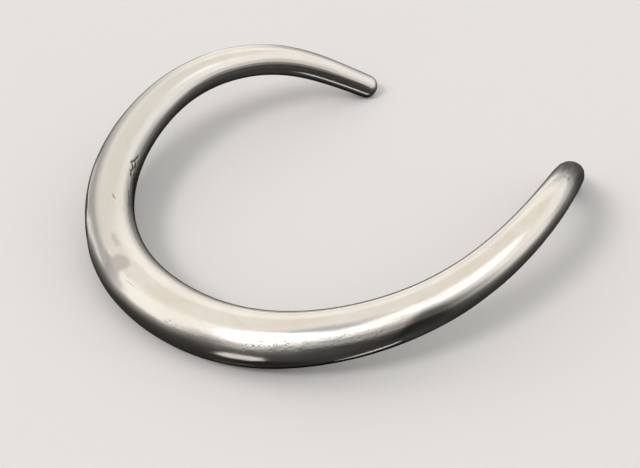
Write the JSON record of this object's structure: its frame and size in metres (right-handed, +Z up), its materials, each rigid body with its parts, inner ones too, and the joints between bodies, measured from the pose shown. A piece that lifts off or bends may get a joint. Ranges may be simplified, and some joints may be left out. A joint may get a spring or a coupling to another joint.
{
  "type": "neck ring",
  "caption": "Rigid open neck ring of polished sheet silver: a hollow tube, thickest at the front, tapering to blunt tips beside the gap at the back, with arms that arch up.",
  "frame": {"origin": "middle of the bounding box in plan, on the surface that the ring rests on", "axes": "+Z up as the ring rests, -Y to its thick front, +Y to the gap between its tips, +X to the arm that arches higher"},
  "size_m": [0.1934, 0.1958, 0.0439],
  "materials": {
    "silver": "worn polished silver, softly brushed, with a little tarnish"
  },
  "bodies": {
    "root": {"neck_ring": "silver"}
  },
  "joints": []
}
